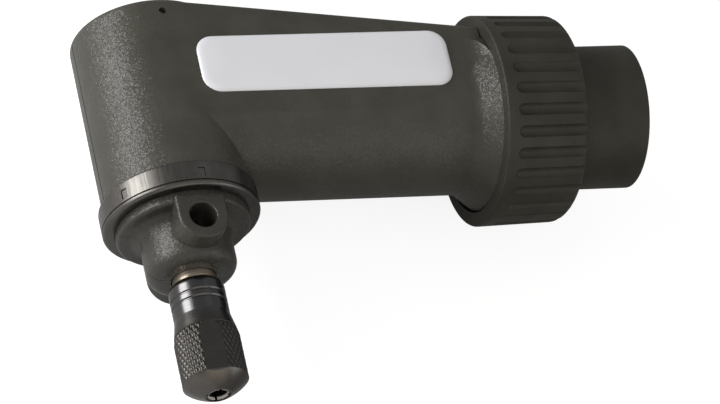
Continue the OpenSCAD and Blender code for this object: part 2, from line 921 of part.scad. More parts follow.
// Split collet with a straight tail, a cone that the nut closes and a nose in the nut's tip
module collet() {
    color("#c9c2b0") laid_down()
        down_spindle()
            difference() {
                rotate_extrude()
                    polygon([
                        [shank_r, collet_back], [collet_body_r, collet_back], [collet_body_r, cone_start],
                        [collet_back_r, cone_start], [collet_front_r, cone_end], [collet_nose_r, cone_end],
                        [collet_nose_r, collet_end], [shank_r, collet_end]]);
                for (quarter = [0, 1])
                    rotate([0, 0, collet_turn + 90 * quarter])
                        translate([-far / 2, -collet_slot / 2, collet_back + slot_floor])
                            cube([far, collet_slot, far]);
            }
}

// Points of a shallow ring groove in the nut's neck
function ring_groove(at) = [
    [nut_neck_r, at], [nut_neck_r - nut_groove, at + nut_groove],
    [nut_neck_r - nut_groove, at + nut_groove_w - nut_groove], [nut_neck_r, at + nut_groove_w]
];

module collet_nut() {
    neck_end = nut_top + nut_neck_len;
    grip_at = neck_end + nut_taper;
    tip_at = nut_end - nut_tip;
    seat_back_r = collet_back_r + run_gap;
    seat_front_r = collet_front_r + run_gap;
    shoulder = [
        for (p = arc(0, 0, 1, 0, 90))
            [nut_top_r + (nut_neck_r - nut_top_r) * p[1], nut_top + nut_shoulder * (1 - p[0])]
    ];
    color(dark_steel) laid_down()
        down_spindle()
            difference() {
                rotate_extrude()
                    polygon(concat(
                        [[nut_bore_r, nut_top]],
                        shoulder,
                        ring_groove(nut_top + nut_groove_at),
                        ring_groove(nut_top + nut_groove_at + nut_groove_step),
                        [[nut_neck_r, neck_end], [nut_grip_r, grip_at], [nut_grip_r, tip_at]],
                        [[nut_tip_r, nut_end], [nut_hole_r, nut_end], [nut_hole_r, cone_end + run_gap]],
                        [[seat_front_r, cone_end + run_gap], [seat_back_r, cone_start - run_gap]],
                        [[nut_bore_r, cone_start - run_gap]]));
                rotate([0, 0, -nut_flat_turn])
                    for (side = [-1, 1])
                        translate([-far / 2, side > 0 ? nut_flat : -nut_flat - far, neck_end])
                            cube([far, far, far]);
            }
}

// Coupling nut: fluted grip and sleeve in one piece, held on the tail neck by its web

module flute() {
    groove = (flute_w * flute_w / 4 + flute_deep * flute_deep) / (2 * flute_deep);
    translate([grip_r - flute_deep + groove, 0, barrel_len])
        rotate([0, -grip_draft, 0])
            translate([0, 0, flute_start + groove])
                rotate_extrude($fn = 48)
                    polygon(concat(
                        arc(0, 0, groove, -90, 0),
                        [[groove, far], [0, far]]));
}

module coupling_nut() {
    round_at = grip_end - grip_round;
    round_r = grip_r - (grip_round + (round_at - barrel_len) * sin(grip_draft)) / cos(grip_draft);
    color(casting) laid_down()
        along_barrel()
            difference() {
                rotate_extrude()
                    polygon(concat(
                        [[tail_neck_r + run_gap, web_start], [flange_r + rim_gap, web_start]],
                        [[flange_r + rim_gap, barrel_len]],
                        arc(grip_r - rim_round, barrel_len + rim_round, rim_round, -90, 0),
                        arc(round_r, round_at, grip_round, grip_draft, 90),
                        [[sleeve_r, grip_end], [sleeve_r, reach]],
                        [[thread_r, reach], [thread_r, thread_start]],
                        [[relief_r, thread_start], [relief_r, web_end], [tail_neck_r + run_gap, web_end]]));
                for (i = [0 : flutes - 1])
                    rotate([0, 0, flute_turn + i * 360 / flutes])
                        flute();
            }
}

housing_front();
housing_rear();
head_pin();
name_plate();
head_band();
nose_cap();
upper_outer_race();
upper_inner_race();
upper_balls();
lower_outer_race();
lower_inner_race();
lower_balls();
outer_spacer();
inner_spacer();
bearing_circlip();
front_outer_race();
front_inner_race();
front_balls();
rear_outer_race();
rear_inner_race();
rear_balls();
input_shaft();
bevel_pinion();
pinion_pin();
spindle();
bevel_gear();
gear_pin();
collet();
collet_nut();
coupling_nut();
coupling_circlip();
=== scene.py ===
"""Looks for the angle head: materials, knurl, thread, plate, flare and stage round the fixed CAD frame."""
import json
import math

import bpy
from mathutils import Matrix, Vector


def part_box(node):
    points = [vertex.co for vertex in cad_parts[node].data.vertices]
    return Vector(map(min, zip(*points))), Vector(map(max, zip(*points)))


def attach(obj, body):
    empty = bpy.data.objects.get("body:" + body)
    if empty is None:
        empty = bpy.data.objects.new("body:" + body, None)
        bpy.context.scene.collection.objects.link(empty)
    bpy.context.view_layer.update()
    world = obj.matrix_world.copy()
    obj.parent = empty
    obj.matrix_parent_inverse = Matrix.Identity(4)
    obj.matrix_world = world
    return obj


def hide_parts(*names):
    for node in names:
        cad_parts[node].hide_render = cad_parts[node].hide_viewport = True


MM = 0.001

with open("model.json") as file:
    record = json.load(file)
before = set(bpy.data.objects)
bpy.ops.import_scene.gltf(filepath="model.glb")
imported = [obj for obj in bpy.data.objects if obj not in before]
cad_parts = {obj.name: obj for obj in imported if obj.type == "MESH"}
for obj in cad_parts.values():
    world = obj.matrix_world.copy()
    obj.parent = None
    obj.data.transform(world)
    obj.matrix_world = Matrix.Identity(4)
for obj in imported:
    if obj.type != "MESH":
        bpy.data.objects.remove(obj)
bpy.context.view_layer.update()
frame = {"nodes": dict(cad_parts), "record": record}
nodes = frame["nodes"]
mounts = {m["name"]: m for m in frame["record"]["mounts"]}

# Camera of the photograph, in the row frame
CAMERA_TARGET = Vector((-49.99, -14.76, 0.0)) * MM
CAMERA_AZIMUTH = -34.92
CAMERA_ELEVATION = 54.50
CAMERA_ROLL = -27.51
CAMERA_DISTANCE = 903.08 * MM
IMAGE_WIDTH = 720
FOCAL_PIXELS = 5507.6
SENSOR_WIDTH = 36.0

# Axes and mounts of the object, from the record
HEAD_X = mounts["collet_grip"]["pos_m"][0]
THREAD_R = mounts["coupling_thread"]["dims"]["r_mm"] * MM
THREAD_LEN = mounts["coupling_thread"]["dims"]["length_mm"] * MM

# Thread in the coupling, twelve to the inch; crest as a share of the ridge's width, fade in turns
THREAD_PITCH = 25.4 / 12 * MM
THREAD_HEIGHT = 0.42 * MM
THREAD_SINK = 0.04 * MM
THREAD_MARGIN = THREAD_PITCH * 0.6
THREAD_HALF = THREAD_PITCH * 0.42
THREAD_CREST = 0.2
THREAD_FADE = 0.25
THREAD_STEPS = 64

# Collet nut, as radii and distances from its upper edge, or from its tip for the collet's seat
NUT_TOP_R = 3.75 * MM
NUT_SHOULDER = 1.3 * MM
NUT_NECK_R = 4.6 * MM
NUT_NECK_LEN = 6.25 * MM
NUT_GRIP_R = 5.42 * MM
NUT_TAPER = 3.9 * MM
NUT_TIP = 2.2 * MM
NUT_TIP_R = 2.2 * MM
NUT_TIP_CROWN = 0.28 * MM
NUT_HOLE_R = 2.05 * MM
NUT_BORE_R = 3.51 * MM
NUT_SEAT = ((2.41 * MM, 0.44 * MM), (3.21 * MM, 3.76 * MM))
NUT_FLAT = 5.1 * MM
NUT_FLAT_ANGLE = math.radians(100)
NUT_GROOVE = 0.18 * MM
NUT_GROOVE_W = 0.5 * MM
NUT_GROOVES = (2.45 * MM, 3.75 * MM)

# Rows of points on the nut: degrees on its shoulder, the neck's last stretch, and shares of its tip
NUT_SHOULDER_STEP = 10
NUT_NECK_END = 0.6 * MM
NUT_NECK_STEP = 0.2 * MM
NUT_TIP_STEP = 0.07

# Diamond knurl of the nut's grip
KNURL_COUNT = 35
KNURL_PERIOD = 1.56 * MM
KNURL_DEEP = 0.19 * MM
KNURL_START = 8.95 * MM
KNURL_STEPS = 14
KNURL_ROW = KNURL_PERIOD / 18

# Barrel in front of the coupling nut, and the fillet and cone of its flare there
BARREL_R = 12.2 * MM
FLANK = 12.15 * MM
FLANGE_R = 15.0 * MM
RIM_REACH = 0.4 * MM
FLARE_TILT = math.radians(38)
FLARE_FILLET = 3.0 * MM
FLARE_FILLET_STEPS = 8
FLARE_CONE_STEP = 0.4 * MM
FLARE_SETTLE = 0.015 * MM
FLARE_ROOT = 0.4 * MM
FLARE_STEPS = 72

# Domed plate; angles of its rounded edge, then shares of the way in to its middle line
PLATE_CORNER = 3.0 * MM
PLATE_EDGE = 1.2 * MM
PLATE_RISE = 0.5 * MM
PLATE_CROWN = 0.12 * MM
PLATE_ARC = (15, 30, 45, 60, 75, 90)
PLATE_RINGS = (0.15, 0.3, 0.5, 0.7, 0.88, 0.99)
PLATE_INNER_CORNER = 0.55
PLATE_CORNER_STEPS = 8

# Middle stretch of a noise texture's values, and marks stretched along the streaks or round the turned axis
NOISE_SPAN = (0.3, 0.7)
CLOUD_SPAN = (0.35, 0.65)
STREAKS = (3200.0, 160.0, 3200.0)
TURNED = (80.0, 7000.0, 80.0)
FINE_TURNED = (60.0, 9000.0, 60.0)

# Parting line of the mouldings: distances from the plane where it ends, and where it runs out on the barrel
PARTING_HALF = (0.09 * MM, 0.17 * MM)
PARTING_END = (HEAD_X + 8 * MM, HEAD_X + 13 * MM)
PARTING_TONE = (0.004, 0.004, 0.003)

# Sparkle of the nylon
FLAKE_SCALE = 6000.0
FLAKE_TILT = 0.45

# Dark and light tones of the nylon mouldings, the metals and the plate
HOUSING_TONES = ((0.040, 0.0375, 0.0285), (0.050, 0.047, 0.0365))
NOSE_TONES = ((0.027, 0.0253, 0.0192), (0.034, 0.0320, 0.0248))
COUPLING_TONES = ((0.029, 0.0273, 0.0201), (0.037, 0.0348, 0.0256))
SPINDLE_TONES = ((0.50, 0.42, 0.33), (0.68, 0.60, 0.50))
BEARING_TONES = ((0.56, 0.56, 0.55), (0.64, 0.64, 0.63))
GEAR_TONES = ((0.28, 0.27, 0.25), (0.38, 0.37, 0.35))
SPRING_TONES = ((0.12, 0.115, 0.105), (0.20, 0.19, 0.175))
BAND_TONES = ((0.070, 0.066, 0.061), (0.140, 0.133, 0.123))
NECK_TONES = ((0.070, 0.069, 0.069), (0.104, 0.102, 0.102))
GRIP_TONES = ((0.056, 0.053, 0.049), (0.082, 0.077, 0.071))
# The nut tip's paler, warmer tones are a painted highlight
TIP_PAINTED_HIGHLIGHT_TONES = ((0.092, 0.086, 0.079), (0.134, 0.125, 0.115))
# The collet's pale tone is a painted highlight at the mouth of its bore
COLLET_AND_HIGHLIGHT_TONES = ((0.10, 0.095, 0.085), (0.86, 0.82, 0.74))
PLATE_TONES = ((0.70, 0.70, 0.725), (0.74, 0.74, 0.76))

# Painted highlight at the mouth of the collet's bore, as a radius and a depth from the tip, and the soft
# edge of the painted highlight on the nut's tip
MOUTH_R = (1.62 * MM, 1.68 * MM)
MOUTH_DEPTH = (0.40 * MM, 0.55 * MM)
TIP_HIGHLIGHT_BLEND = 0.1 * MM

# Seams of the CAD faces that are joined, and the widest angle that is shaded smooth
SEAM = 0.002 * MM
SMOOTH_ANGLE = math.radians(26.0)

# Lamps: name, direction from the object, distance in metres, size in metres, watts and colour
WHITE = (1.0, 1.0, 1.0)
WARM = (1.0, 0.82, 0.66)
LAMPS = (
    ("key", (-0.855, 0.45, 0.24), 0.55, (0.24, 0.30), 1.6, WHITE),
    ("left", (-0.95, 0.12, 0.25), 0.7, (0.7, 0.7), 4.6, WHITE),
    ("fill", (0.2, -0.42, 0.90), 0.9, (1.8, 1.8), 3.0, WHITE),
    ("side", (0.75, -0.60, 0.30), 0.9, (0.5, 0.5), 1.0, WHITE),
    ("bounce", (0.0, -0.92, 0.34), 0.8, (0.7, 0.5), 0.7, WARM),
)

# Light of the surroundings, and the glow that they and the floor add for each kind of ray
WORLD_LIGHT = 0.38
WORLD_GLOW = {"Is Camera Ray": 0.62, "Is Glossy Ray": 0.02, "Is Transmission Ray": 0.62}
FLOOR_GLOW = {"Is Camera Ray": 0.87, "Is Glossy Ray": 0.10, "Is Transmission Ray": 0.87}

# Floor in metres, with its pale and dark tone and where the grade lies beside the head; the pale side is a
# painted pool of light
FLOOR_SIZE = 8.0
FLOOR_PAINTED_LIGHT_TONES = (0.85, 0.22)
FLOOR_PAINTED_LIGHT_GRADE = (-0.018, 0.02)


# Node helpers

def new_material(name):
    """A material with one Principled shader, and its node tree."""
    mat = bpy.data.materials.new(name)
    mat.use_nodes = True
    tree = mat.node_tree
    return mat, tree, tree.nodes["Principled BSDF"]


def add(tree, kind, **inputs):
    """A node of this kind with some of its inputs set by name."""
    node = tree.nodes.new(kind)
    for key, value in inputs.items():
        node.inputs[key.replace("_", " ")].default_value = value
    return node


def calc(tree, operation, first, second=None):
    """Output of a math node on one or two outputs."""
    node = tree.nodes.new("ShaderNodeMath")
    node.operation = operation
    tree.links.new(first, node.inputs[0])
    if second is not None:
        tree.links.new(second, node.inputs[1])
    return node.outputs[0]


def object_coords(tree, scale=(1.0, 1.0, 1.0)):
    """Object coordinates, stretched by a scale for each axis."""
    coords = tree.nodes.new("ShaderNodeTexCoord")
    mapping = add(tree, "ShaderNodeMapping", Scale=scale)
    tree.links.new(coords.outputs["Object"], mapping.inputs["Vector"])
    return mapping.outputs["Vector"]


def object_axes(tree):
    """The object coordinates as outputs X, Y and Z."""
    coords = tree.nodes.new("ShaderNodeTexCoord")
    parts = tree.nodes.new("ShaderNodeSeparateXYZ")
    tree.links.new(coords.outputs["Object"], parts.inputs[0])
    return parts.outputs


def noise(tree, vector, scale, detail=2.0, roughness=0.5):
    """Factor output of a noise texture."""
    node = add(tree, "ShaderNodeTexNoise", Scale=scale, Detail=detail, Roughness=roughness)
    tree.links.new(vector, node.inputs["Vector"])
    return node.outputs["Fac"]


def remap(tree, value, source, target=(0.0, 1.0)):
    """A value stretched from one range to another and clamped."""
    node = tree.nodes.new("ShaderNodeMapRange")
    for key, number in zip(("From Min", "From Max", "To Min", "To Max"), (*source, *target)):
        node.inputs[key].default_value = number
    tree.links.new(value, node.inputs["Value"])
    return node.outputs["Result"]


def tone(tree, factor, tones):
    """A colour between a dark and a light tone, by a factor."""
    ramp = tree.nodes.new("ShaderNodeValToRGB")
    for element, colour in zip(ramp.color_ramp.elements, tones):
        element.color = (*colour, 1.0)
    tree.links.new(factor, ramp.inputs["Fac"])
    return ramp.outputs["Color"]


def mix(tree, factor, first, second):
    """A colour between two, by a factor. The first may be a fixed colour."""
    node = tree.nodes.new("ShaderNodeMix")
    node.data_type = "RGBA"
    tree.links.new(factor, node.inputs["Factor"])
    if isinstance(first, tuple):
        node.inputs["A"].default_value = (*first, 1.0)
    else:
        tree.links.new(first, node.inputs["A"])
    tree.links.new(second, node.inputs["B"])
    return node.outputs["Result"]


def bump(tree, height, strength, distance, normal=None):
    """Normal output of a bump node."""
    node = add(tree, "ShaderNodeBump", Strength=strength, Distance=distance)
    tree.links.new(height, node.inputs["Height"])
    if normal is not None:
        tree.links.new(normal, node.inputs["Normal"])
    return node.outputs["Normal"]


def flake_normal(tree, vector):
    """The surface's normal, tilted at random in each cell of a fine grain."""
    cells = add(tree, "ShaderNodeTexVoronoi", Scale=FLAKE_SCALE)
    tree.links.new(vector, cells.inputs["Vector"])
    surface = tree.nodes.new("ShaderNodeNewGeometry")
    steps = []
    for operation in ("SUBTRACT", "SCALE", "ADD", "NORMALIZE"):
        step = tree.nodes.new("ShaderNodeVectorMath")
        step.operation = operation
        if steps:
            tree.links.new(steps[-1].outputs[0], step.inputs[0])
        steps.append(step)
    tree.links.new(cells.outputs["Color"], steps[0].inputs[0])
    steps[0].inputs[1].default_value = (0.5, 0.5, 0.5)
    steps[1].inputs["Scale"].default_value = FLAKE_TILT
    tree.links.new(surface.outputs["Normal"], steps[2].inputs[1])
    return steps[-1].outputs[0]


# Materials

def parting_line(tree):
    """0 where the head's two mould halves meet, 1 a little away from it and along the barrel."""
    axes = object_axes(tree)
    away = remap(tree, calc(tree, "ABSOLUTE", axes["Z"]), PARTING_HALF)
    along = remap(tree, axes["X"], PARTING_END)
    return calc(tree, "MAXIMUM", away, along)


def black_nylon(name, tones, parted, sparkle):
    """Moulded glass-filled nylon: near black, fine grain with some sparkle, with a parting line or none."""
    mat, tree, shader = new_material(name)
    place = object_coords(tree)
    grain = noise(tree, place, scale=3200.0, roughness=0.7)
    cloud = noise(tree, place, scale=170.0, detail=3.0, roughness=0.55)
    colour = tone(tree, remap(tree, cloud, CLOUD_SPAN), tones)
    normal = bump(tree, grain, strength=0.8, distance=0.10 * MM)
    if parted:
        line = parting_line(tree)
        colour = mix(tree, line, PARTING_TONE, colour)
        normal = bump(tree, line, strength=1.0, distance=0.10 * MM, normal=normal)
    tree.links.new(colour, shader.inputs["Base Color"])
    tree.links.new(remap(tree, grain, NOISE_SPAN, (0.40, 0.60)), shader.inputs["Roughness"])
    shader.inputs["Specular IOR Level"].default_value = 0.14
    tree.links.new(normal, shader.inputs["Normal"])
    shader.inputs["Coat Weight"].default_value = sparkle
    shader.inputs["Coat Roughness"].default_value = 0.25
    tree.links.new(flake_normal(tree, place), shader.inputs["Coat Normal"])
    return mat


def link_metal(tree, shader, colour, roughness, normal):
    """Makes a shader a metal with these outputs."""
    shader.inputs["Metallic"].default_value = 1.0
    tree.links.new(colour, shader.inputs["Base Color"])
    tree.links.new(roughness, shader.inputs["Roughness"])
    tree.links.new(normal, shader.inputs["Normal"])


def band_steel():
    """Dark satin steel with fine streaks along the spindle."""
    mat, tree, shader = new_material("band_steel")
    streak = noise(tree, object_coords(tree, STREAKS), scale=1.0, detail=3.0, roughness=0.6)
    smudge = noise(tree, object_coords(tree), scale=320.0, detail=3.0, roughness=0.6)
    colour = tone(tree, smudge, BAND_TONES)
    roughness = remap(tree, streak, NOISE_SPAN, (0.24, 0.40))
    link_metal(tree, shader, colour, roughness, bump(tree, streak, strength=0.12, distance=0.04 * MM))
    return mat


def black_oxide():
    """Black-oxide steel with turning marks: polished on the neck, dull on the grip, and paler on the tip as
    a painted warm highlight.
    """
    mat, tree, shader = new_material("black_oxide")
    low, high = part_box("collet_nut")
    neck_end = high.y - NUT_NECK_LEN
    tip_start = low.y + NUT_TIP
    along = object_axes(tree)["Y"]
    on_grip = remap(tree, along, (neck_end - NUT_TAPER / 2, neck_end), (1.0, 0.0))
    # Paler tone on the nut's tip: a painted warm highlight
    on_tip_highlight = remap(tree, along, (tip_start - TIP_HIGHLIGHT_BLEND, tip_start + TIP_HIGHLIGHT_BLEND), (1.0, 0.0))
    turning = noise(tree, object_coords(tree, FINE_TURNED), scale=1.0)
    smudge = noise(tree, object_coords(tree), scale=420.0, detail=3.0, roughness=0.6)
    colour = mix(tree, on_grip, tone(tree, smudge, NECK_TONES), tone(tree, smudge, GRIP_TONES))
    colour = mix(tree, on_tip_highlight, colour, tone(tree, smudge, TIP_PAINTED_HIGHLIGHT_TONES))
    polish = remap(tree, turning, NOISE_SPAN, (0.16, 0.26))
    roughness = calc(tree, "ADD", polish, remap(tree, on_grip, (0.0, 1.0), (0.0, 0.09)))
    link_metal(tree, shader, colour, roughness, bump(tree, turning, strength=0.10, distance=0.03 * MM))
    return mat


def turned_steel(name, tones, polish):
    """Bare steel with turning marks and a little uneven tone."""
    mat, tree, shader = new_material(name)
    turning = noise(tree, object_coords(tree, TURNED), scale=1.0)
    smudge = noise(tree, object_coords(tree), scale=500.0, roughness=0.6)
    colour = tone(tree, smudge, tones)
    roughness = remap(tree, turning, NOISE_SPAN, polish)
    link_metal(tree, shader, colour, roughness, bump(tree, turning, strength=0.15, distance=0.04 * MM))
    return mat


def collet_steel():
    """Dark collet steel with a painted highlight at the mouth of its bore: pale there, and less metal."""
    mat, tree, shader = new_material("collet_steel")
    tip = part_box("collet")[0].y
    coords = tree.nodes.new("ShaderNodeTexCoord")
    across = add(tree, "ShaderNodeMapping", Location=(-HEAD_X, 0.0, 0.0), Scale=(1.0, 0.0, 1.0))
    radius = tree.nodes.new("ShaderNodeVectorMath")
    radius.operation = "LENGTH"
    tree.links.new(coords.outputs["Object"], across.inputs["Vector"])
    tree.links.new(across.outputs["Vector"], radius.inputs[0])
    in_bore = remap(tree, radius.outputs["Value"], MOUTH_R, (1.0, 0.0))
    near_tip = remap(tree, object_axes(tree)["Y"], [tip + depth for depth in MOUTH_DEPTH], (1.0, 0.0))
    # Pale, less metallic mouth of the bore: a painted highlight
    painted_mouth_highlight = calc(tree, "MULTIPLY", in_bore, near_tip)
    turning = noise(tree, object_coords(tree, TURNED), scale=1.0)
    roughness = remap(tree, turning, NOISE_SPAN, (0.30, 0.42))
    normal = bump(tree, turning, strength=0.15, distance=0.04 * MM)
    link_metal(tree, shader, tone(tree, painted_mouth_highlight, COLLET_AND_HIGHLIGHT_TONES), roughness, normal)
    tree.links.new(remap(tree, painted_mouth_highlight, (0.0, 1.0), (1.0, 0.3)), shader.inputs["Metallic"])
    return mat


def white_plate():
    """Glossy white plate under a clear dome."""
    mat, tree, shader = new_material("white_plate")
    ripple = noise(tree, object_coords(tree), scale=160.0, roughness=0.4)
    tree.links.new(tone(tree, ripple, PLATE_TONES), shader.inputs["Base Color"])
    tree.links.new(remap(tree, ripple, NOISE_SPAN, (0.16, 0.24)), shader.inputs["Roughness"])
    shader.inputs["Coat Weight"].default_value = 0.6
    shader.inputs["Coat Roughness"].default_value = 0.05
    return mat


def soften_group():
    """Geometry nodes that join the CAD faces' seams and shade across shallow angles."""
    group = bpy.data.node_groups.new("soften", "GeometryNodeTree")
    group.interface.new_socket("Geometry", in_out="INPUT", socket_type="NodeSocketGeometry")
    group.interface.new_socket("Geometry", in_out="OUTPUT", socket_type="NodeSocketGeometry")
    start = group.nodes.new("NodeGroupInput")
    end = group.nodes.new("NodeGroupOutput")
    drop = group.nodes.new("GeometryNodeRemoveAttribute")
    drop.inputs["Name"].default_value = "custom_normal"
    merge = group.nodes.new("GeometryNodeMergeByDistance")
    merge.inputs["Distance"].default_value = SEAM
    faces = group.nodes.new("GeometryNodeSetShadeSmooth")
    edges = group.nodes.new("GeometryNodeSetShadeSmooth")
    edges.domain = "EDGE"
    angle = group.nodes.new("GeometryNodeInputMeshEdgeAngle")
    shallow = group.nodes.new("FunctionNodeCompare")
    shallow.operation = "LESS_THAN"
    shallow.inputs["B"].default_value = SMOOTH_ANGLE
    join = group.links.new
    join(start.outputs[0], drop.inputs["Geometry"])
    join(drop.outputs[0], merge.inputs["Geometry"])
    join(merge.outputs[0], faces.inputs["Geometry"])
    join(faces.outputs[0], edges.inputs["Geometry"])
    join(angle.outputs["Unsigned Angle"], shallow.inputs["A"])
    join(shallow.outputs["Result"], edges.inputs["Shade Smooth"])
    join(edges.outputs[0], end.inputs[0])
    return group


# Dress the CAD nodes

MATERIALS = {
    "black_nylon": black_nylon("black_nylon", HOUSING_TONES, parted=True, sparkle=0.5),
    "band_steel": band_steel(),
    "black_oxide": black_oxide(),
    "white_plate": white_plate(),
    "spindle_steel": turned_steel("spindle_steel", SPINDLE_TONES, polish=(0.24, 0.36)),
    "bearing_steel": turned_steel("bearing_steel", BEARING_TONES, polish=(0.12, 0.22)),
    "gear_steel": turned_steel("gear_steel", GEAR_TONES, polish=(0.28, 0.42)),
    "spring_steel": turned_steel("spring_steel", SPRING_TONES, polish=(0.30, 0.45)),
    "collet_steel": collet_steel(),
}
NOSE_NYLON = black_nylon("nose_nylon", NOSE_TONES, parted=True, sparkle=0.6)
COUPLING_NYLON = black_nylon("nut_nylon", COUPLING_TONES, parted=False, sparkle=0.12)
SOFTEN = soften_group()


def soften(piece):
    """Gives a piece soft shading across shallow angles."""
    modifier = piece.modifiers.new("soften", "NODES")
    modifier.node_group = SOFTEN


for entry in frame["record"]["subparts"]:
    node = nodes[entry["node"]]
    node.data.materials.clear()
    node.data.materials.append(MATERIALS[entry["material_slot"]])
    soften(node)
nodes["coupling_nut"].data.materials[0] = COUPLING_NYLON
nodes["nose_cap"].data.materials[0] = NOSE_NYLON


# Pieces made here

def link(obj):
    """Puts an object in the scene."""
    bpy.context.scene.collection.objects.link(obj)
    return obj


def make_piece(name, verts, faces, material, body):
    """A smooth mesh piece that rides on a body."""
    mesh = bpy.data.meshes.new(name)
    mesh.from_pydata(verts, [], faces)
    mesh.materials.append(material)
    mesh.polygons.foreach_set("use_smooth", [True] * len(mesh.polygons))
    mesh.update()
    piece = link(bpy.data.objects.new(name, mesh))
    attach(piece, body)
    return piece


def ring_faces(rows, around):
    """Quads between rows of points that each go once round."""
    faces = []
    for row in range(rows - 1):
        here, there = row * around, (row + 1) * around
        for i in range(around):
            after = (i + 1) % around
            faces.append((here + i, here + after, there + after, there + i))
    return faces


def split_span(start, end, step):
    """Evenly spaced values from start to end, the end left out."""
    count = max(1, round(abs(end - start) / step))
    return [start + (end - start) * i / count for i in range(count)]


def nut_outside(length):
    """Points (radius, distance) of the nut's outside, from its upper edge to its tip."""
    taper_end = NUT_NECK_LEN + NUT_TAPER
    tip_at = length - NUT_TIP
    points = []
    for degrees in range(0, 91, NUT_SHOULDER_STEP):
        turn = math.radians(degrees)
        radius = NUT_TOP_R + (NUT_NECK_R - NUT_TOP_R) * math.sin(turn)
        points.append((radius, NUT_SHOULDER * (1 - math.cos(turn))))
    floor = NUT_NECK_R - NUT_GROOVE
    for at in NUT_GROOVES:
        points += [(NUT_NECK_R, at), (floor, at + NUT_GROOVE)]
        points += [(floor, at + NUT_GROOVE_W - NUT_GROOVE), (NUT_NECK_R, at + NUT_GROOVE_W)]
    points += [(NUT_NECK_R, d) for d in split_span(NUT_NECK_LEN - NUT_NECK_END, NUT_NECK_LEN, NUT_NECK_STEP)]
    slope = (NUT_GRIP_R - NUT_NECK_R) / NUT_TAPER
    for distance in split_span(NUT_NECK_LEN, taper_end, KNURL_ROW):
        points.append((NUT_NECK_R + slope * (distance - NUT_NECK_LEN), distance))
    points += [(NUT_GRIP_R, d) for d in split_span(taper_end, tip_at, KNURL_ROW)]
    for share in split_span(0.0, 1.0, NUT_TIP_STEP) + [1.0]:
        crown = NUT_TIP_CROWN * 4 * share * (1 - share)
        points.append((NUT_GRIP_R + (NUT_TIP_R - NUT_GRIP_R) * share + crown, tip_at + NUT_TIP * share))
    return points


def nut_inside(length):
    """Points (radius, distance) of the nut's hole, seat and bore, from its tip back to its upper edge."""
    seat_start, seat_end = NUT_SEAT
    points = [(NUT_HOLE_R, length), (NUT_HOLE_R, length - seat_start[1])]
    points += [(radius, length - depth) for radius, depth in NUT_SEAT]
    return points + [(NUT_BORE_R, length - seat_end[1]), (NUT_BORE_R, 0.0), (NUT_TOP_R, 0.0)]


def knurl_height(angle, distance):
    """1 on a diamond's top and 0 in the grooves, for a place on the grip."""
    turn = angle * KNURL_COUNT / (2 * math.pi)
    along = distance / KNURL_PERIOD
    left = abs(2 * ((turn + along) % 1.0) - 1)
    right = abs(2 * ((turn - along) % 1.0) - 1)
    return (1 - left ** 2) * (1 - right ** 2)


def grip_radius(radius, angle, distance, tip_at):
    """Radius of the nut below its neck, after the wrench flats and the knurl."""
    across = abs(math.cos(angle - NUT_FLAT_ANGLE))
    if radius * across > NUT_FLAT:
        return NUT_FLAT / across
    if KNURL_START < distance < tip_at:
        return radius - KNURL_DEEP * (1 - knurl_height(angle, distance))
    return radius


def make_collet_nut():
    """The collet nut with its diamond knurl and two plain wrench flats."""
    low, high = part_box("collet_nut")
    length = high.y - low.y
    around = KNURL_COUNT * KNURL_STEPS
    outside = nut_outside(length)
    rows = outside + nut_inside(length)
    verts = []
    for index, (radius, distance) in enumerate(rows):
        on_grip = index < len(outside) and distance > NUT_NECK_LEN
        for i in range(around):
            angle = 2 * math.pi * i / around
            r = grip_radius(radius, angle, distance, length - NUT_TIP) if on_grip else radius
            verts.append((HEAD_X + r * math.cos(angle), high.y - distance, r * math.sin(angle)))
    faces = ring_faces(len(rows), around)
    piece = make_piece("knurled_nut", verts, faces, MATERIALS["black_oxide"], "collet_nut")
    soften(piece)
    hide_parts("collet_nut")


def round_rect(width, height, corner):
    """Outline of a rectangle with round corners about the origin."""
    points = []
    for quarter, (sx, sy) in enumerate(((1, 1), (-1, 1), (-1, -1), (1, -1))):
        for i in range(PLATE_CORNER_STEPS + 1):
            a = math.radians(90 * (quarter + i / PLATE_CORNER_STEPS))
            points.append((sx * (width / 2 - corner) + corner * math.cos(a),
                           sy * (height / 2 - corner) + corner * math.sin(a)))
    return points


def make_plate():
    """The bare domed plate."""
    low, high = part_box("name_plate")
    middle = (low + high) / 2
    width, height = high.x - low.x, high.y - low.y
    shoulder = high.z - PLATE_CROWN - PLATE_RISE
    rings = [(0.0, low.z), (0.0, shoulder)]
    for degrees in PLATE_ARC:
        turn = math.radians(degrees)
        rings.append((PLATE_EDGE * (1 - math.cos(turn)), shoulder + PLATE_RISE * math.sin(turn)))
    reach = height / 2 - PLATE_EDGE
    for share in PLATE_RINGS:
        rings.append((PLATE_EDGE + reach * share, high.z - PLATE_CROWN * (1 - share) ** 2))
    verts = []
    for inset, z in rings:
        half = height / 2 - inset
        corner = min(max(PLATE_CORNER - inset, half * PLATE_INNER_CORNER), half)
        for x, y in round_rect(width - 2 * inset, height - 2 * inset, corner):
            verts.append((middle.x + x, middle.y + y, z))
    around = len(verts) // len(rings)
    faces = ring_faces(len(rings), around)
    faces.append(tuple(range(len(verts) - around, len(verts))))
    faces.append(tuple(reversed(range(around))))
    piece = make_piece("domed_plate", verts, faces, MATERIALS["white_plate"], "housing")
    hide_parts("name_plate")


